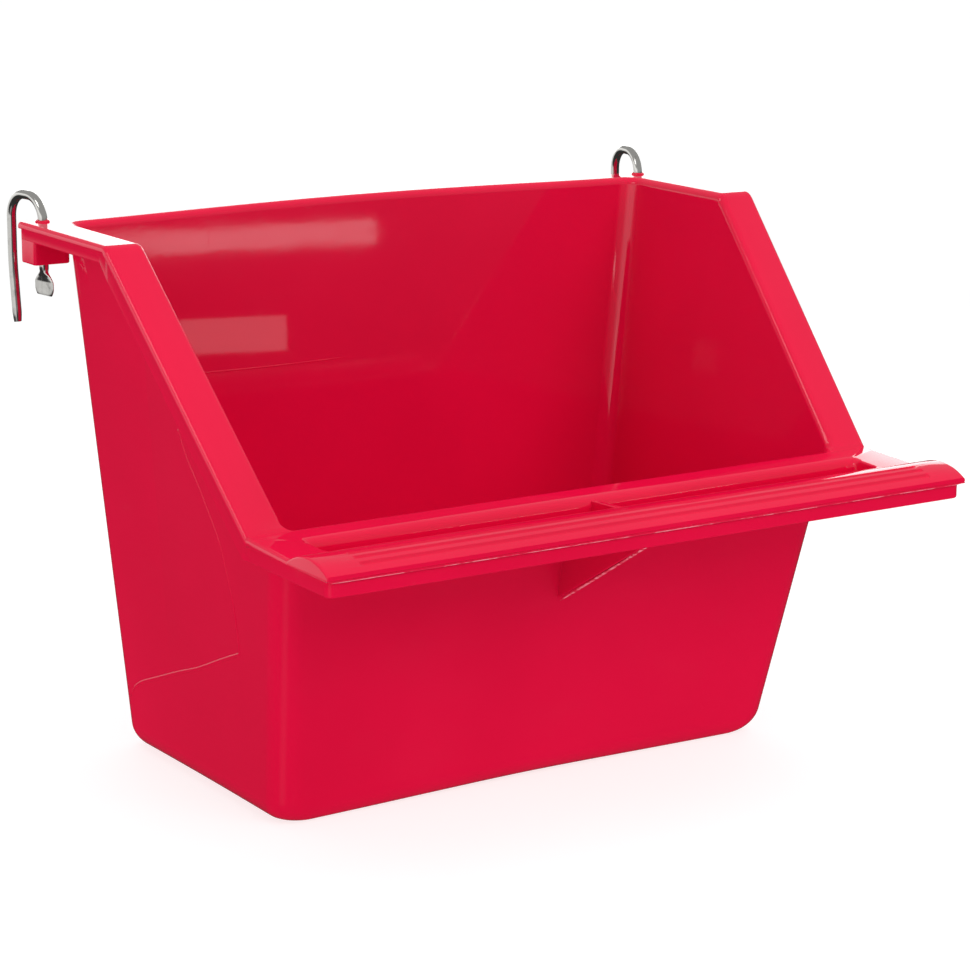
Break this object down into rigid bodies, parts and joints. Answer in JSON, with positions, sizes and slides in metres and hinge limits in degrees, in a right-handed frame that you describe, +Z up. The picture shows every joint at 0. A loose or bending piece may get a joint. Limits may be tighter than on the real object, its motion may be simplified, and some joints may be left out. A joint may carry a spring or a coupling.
{
  "type": "trough feeder",
  "caption": "Deep hanging plastic trough with a sloping open front, a perch lip with a long recess, and swivelling wire hooks at the rear corners.",
  "frame": {"origin": "middle of the flat underside of the trough", "axes": "+Z up, +Y to the rear, where the hooks are, +X to the right seen from the front, where the perch lip is (-Y)"},
  "size_m": [0.23, 0.1846, 0.1724],
  "materials": {
    "trough": "glossy moulded red plastic",
    "hook_wire": "bright plated wire"
  },
  "bodies": {
    "trough": {"trough": "trough"},
    "left_hook": {"left_hook": "hook_wire"},
    "right_hook": {"right_hook": "hook_wire"}
  },
  "joints": [
    {"name": "left_hook_swivel", "type": "hinge", "parent": "trough", "child": "left_hook", "pos_m": [-0.1089, 0.05325, 0.157], "axis": [0, 0, 1], "range_deg": [-70, 142]},
    {"name": "right_hook_swivel", "type": "hinge", "parent": "trough", "child": "right_hook", "pos_m": [0.1089, 0.05325, 0.157], "axis": [0, 0, -1], "range_deg": [-70, 142]}
  ]
}
